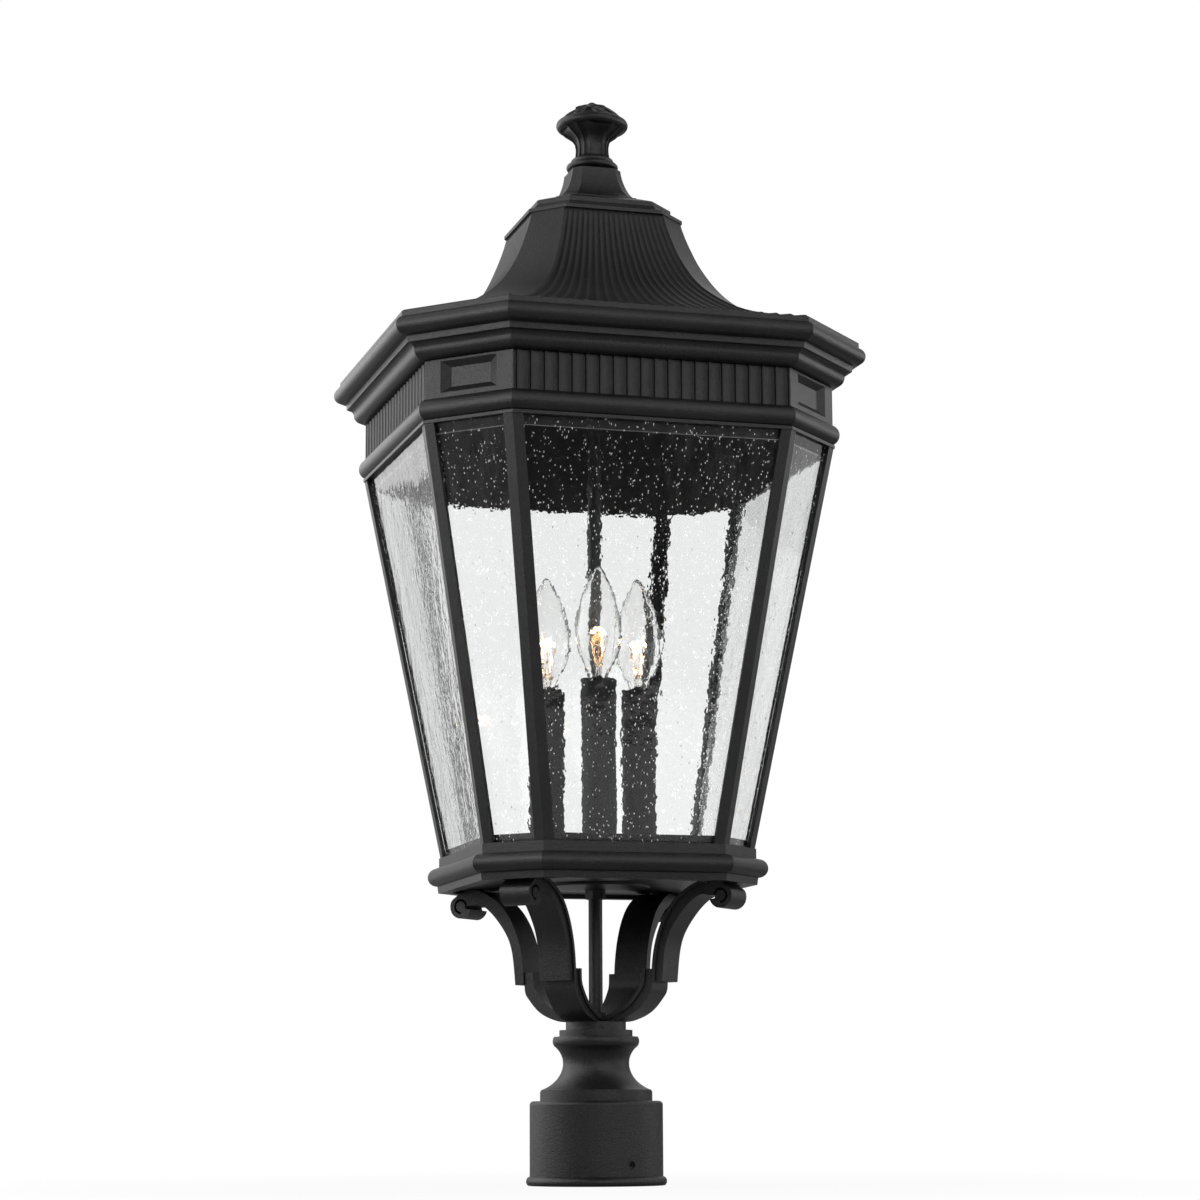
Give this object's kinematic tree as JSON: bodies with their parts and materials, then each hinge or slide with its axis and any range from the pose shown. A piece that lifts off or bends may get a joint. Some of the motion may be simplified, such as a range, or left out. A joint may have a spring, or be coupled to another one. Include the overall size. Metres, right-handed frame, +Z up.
{
  "type": "post top lantern",
  "caption": "Octagonal tapering post top lantern with seeded glass panes, fluted bell roof, screw-down finial, candle lamps and scroll arms over a round post fitter.",
  "frame": {"origin": "centre of the fitter's bottom rim, at the mouth of the post socket", "axes": "+Z up along the post and the lantern's axis; the front wide pane looks along -Y; +X to the right"},
  "size_m": [0.313, 0.313, 0.723],
  "materials": {
    "black_phenolic": "moulded phenolic",
    "black_powder_coat": "fine textured black powder coat",
    "black_rubber": "matte sealing washer",
    "black_sleeve": "matte black candle sleeve",
    "black_steel": "blackened steel",
    "brass": "turned brass",
    "clear_glass": "clear blown glass",
    "filament_wire": "tungsten wire on a glass mount",
    "nickel_shell": "plated brass shell",
    "seeded_glass": "clear glass with seed bubbles"
  },
  "bodies": {
    "lantern": {"arm_hub": "black_powder_coat", "arm_screws": "black_steel", "base_frame": "black_powder_coat", "bulb_base_1": "nickel_shell", "bulb_base_2": "nickel_shell", "bulb_base_3": "nickel_shell", "bulb_filament_1": "filament_wire", "bulb_filament_2": "filament_wire", "bulb_filament_3": "filament_wire", "bulb_glass_1": "clear_glass", "bulb_glass_2": "clear_glass", "bulb_glass_3": "clear_glass", "cage_top_ring": "black_powder_coat", "candle_sleeve_1": "black_sleeve", "candle_sleeve_2": "black_sleeve", "candle_sleeve_3": "black_sleeve", "centre_rod": "black_powder_coat", "fitter_neck": "black_powder_coat", "fitter_set_screws": "black_steel", "lamp_cluster": "black_powder_coat", "lamp_socket_1": "black_phenolic", "lamp_socket_2": "black_phenolic", "lamp_socket_3": "black_phenolic", "neck_disc": "black_powder_coat", "pane_back": "seeded_glass", "pane_back_left": "seeded_glass", "pane_back_right": "seeded_glass", "pane_front": "seeded_glass", "pane_front_left": "seeded_glass", "pane_front_right": "seeded_glass", "pane_left": "seeded_glass", "pane_right": "seeded_glass", "post_back_a": "black_powder_coat", "post_back_b": "black_powder_coat", "post_fitter": "black_powder_coat", "post_front_a": "black_powder_coat", "post_front_b": "black_powder_coat", "post_left_a": "black_powder_coat", "post_left_b": "black_powder_coat", "post_right_a": "black_powder_coat", "post_right_b": "black_powder_coat", "rod_stud": "black_steel", "scroll_arm_back_left": "black_powder_coat", "scroll_arm_back_right": "black_powder_coat", "scroll_arm_front_left": "black_powder_coat", "scroll_arm_front_right": "black_powder_coat", "stem_collar_nut": "black_powder_coat", "stem_lock_nut": "black_steel", "stem_tube": "black_powder_coat", "underside_cover": "black_powder_coat"},
    "roof": {"bell_roof": "black_powder_coat", "roof_cornice": "black_powder_coat", "roof_cap": "black_powder_coat"},
    "finial_seat": {"finial_washer": "black_rubber"},
    "finial_head": {"finial": "black_powder_coat", "finial_insert": "brass"}
  },
  "joints": [
    {"name": "roof_lift", "type": "slide", "parent": "lantern", "child": "roof", "axis": [0, 0, 1], "range_m": [0, 0.2]},
    {"name": "finial_rise", "type": "slide", "parent": "roof", "child": "finial_seat", "axis": [0, 0, 1], "range_m": [0, 0.0081]},
    {"name": "finial_turn", "type": "hinge", "parent": "finial_seat", "child": "finial_head", "pos_m": [0, 0, 0.674], "axis": [0, 0, 1], "range_deg": [0, 2880]}
  ],
  "couplings": [
    {"joint": "finial_rise", "follows": "finial_turn", "m_per_rad": 0.00015915}
  ]
}
